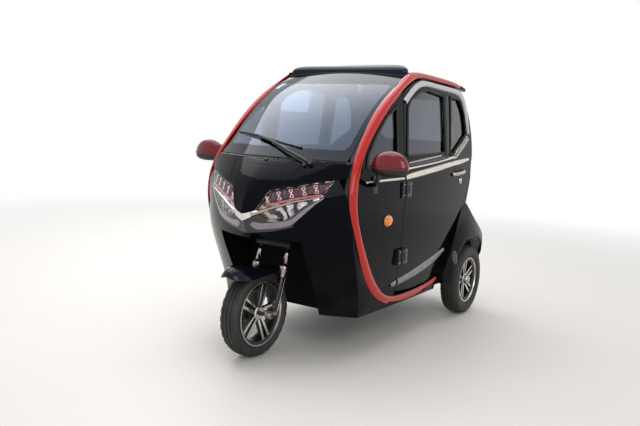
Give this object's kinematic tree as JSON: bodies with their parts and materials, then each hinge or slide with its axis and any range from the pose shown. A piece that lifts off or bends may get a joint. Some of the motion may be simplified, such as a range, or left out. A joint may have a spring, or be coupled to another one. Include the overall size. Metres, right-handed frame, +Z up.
{
  "type": "three wheeled car",
  "caption": "Closed cabin electric three wheeler with a single steered front wheel, hinged side doors, large windscreen, bright side arches and a bench behind the driver.",
  "frame": {"origin": "centre of the bounding box in plan, on the ground", "axes": "X to the vehicle's left, nose towards -Y, Z up"},
  "size_m": [1.358, 2.1329, 1.556],
  "materials": {
    "black_paint": "gloss",
    "red_paint": "gloss",
    "mirror_red": "gloss",
    "black_plastic": "satin",
    "grey_trim": "satin",
    "frame_paint": "satin",
    "tinted_glass": "gloss",
    "lamp_lens": "gloss",
    "drl_white": "satin",
    "chrome": "polished",
    "orange_lens": "gloss",
    "red_lens": "gloss",
    "tyre": "matt",
    "alloy": "machined",
    "steel": "satin",
    "seat_cover": "satin",
    "mirror_glass": "polished",
    "battery_case": "matt"
  },
  "bodies": {
    "body": {"bonnet": "black_paint", "front_cowl": "black_paint", "quarter_panels": "black_paint", "rear_body": "black_paint", "roof": "black_paint", "fenders": "black_paint", "rear_bumper": "black_paint", "rear_spoiler": "black_paint", "plate_holder": "black_plastic", "sills": "black_paint", "red_arches": "red_paint", "mirror_shells": "mirror_red", "mirror_bases": "black_plastic", "mirror_arms": "black_plastic", "mirror_glass": "mirror_glass", "headlamps": "lamp_lens", "drl_strips": "drl_white", "nose_trim": "grey_trim", "nose_chrome": "chrome", "tail_lamps": "red_lens", "turn_lamps": "orange_lens", "windscreen": "tinted_glass", "quarter_glass": "tinted_glass", "rear_window": "tinted_glass", "hinge_leaves": "black_plastic", "wheel_well": "black_plastic", "wheel_housings": "black_plastic", "floor_pan": "black_plastic", "dashboard": "black_plastic", "battery_pack": "battery_case", "chassis_frame": "frame_paint", "rear_axle": "frame_paint", "rear_springs": "steel", "driver_seat": "seat_cover", "rear_seat": "seat_cover"},
    "steering": {"handlebar": "black_plastic", "fork_upper": "steel", "fork_lower": "steel", "front_mudguard": "black_paint", "brake_caliper": "steel"},
    "front_wheel": {"front_tyre": "tyre", "front_rim": "alloy", "brake_disc": "steel"},
    "rear_wheel_left": {"rear_tyre_left": "tyre", "rear_rim_left": "alloy"},
    "rear_wheel_right": {"rear_tyre_right": "tyre", "rear_rim_right": "alloy"},
    "left_door": {"door_left": "black_paint", "door_glass_left": "tinted_glass", "door_handle_left": "chrome", "hinge_knuckles_left": "black_plastic"},
    "right_door": {"door_right": "black_paint", "door_glass_right": "tinted_glass", "door_handle_right": "chrome", "hinge_knuckles_right": "black_plastic"}
  },
  "joints": [
    {"name": "steer", "type": "hinge", "parent": "body", "child": "steering", "pos_m": [0, -0.78, 0.228], "axis": [0, 0.309, 0.9511], "range_deg": [-35, 35]},
    {"name": "front_spin", "type": "hinge", "parent": "steering", "child": "front_wheel", "pos_m": [0, -0.82, 0.2225], "axis": [1, 0, 0], "continuous": true},
    {"name": "rear_left_spin", "type": "hinge", "parent": "body", "child": "rear_wheel_left", "pos_m": [0.462, 0.79, 0.224], "axis": [1, 0, 0], "continuous": true},
    {"name": "rear_right_spin", "type": "hinge", "parent": "body", "child": "rear_wheel_right", "pos_m": [-0.462, 0.79, 0.224], "axis": [1, 0, 0], "continuous": true},
    {"name": "left_door_hinge", "type": "hinge", "parent": "body", "child": "left_door", "pos_m": [0.489, -0.168, 0.6], "axis": [0, 0, -1], "range_deg": [0, 70]},
    {"name": "right_door_hinge", "type": "hinge", "parent": "body", "child": "right_door", "pos_m": [-0.489, -0.168, 0.6], "axis": [0, 0, 1], "range_deg": [0, 70]}
  ]
}
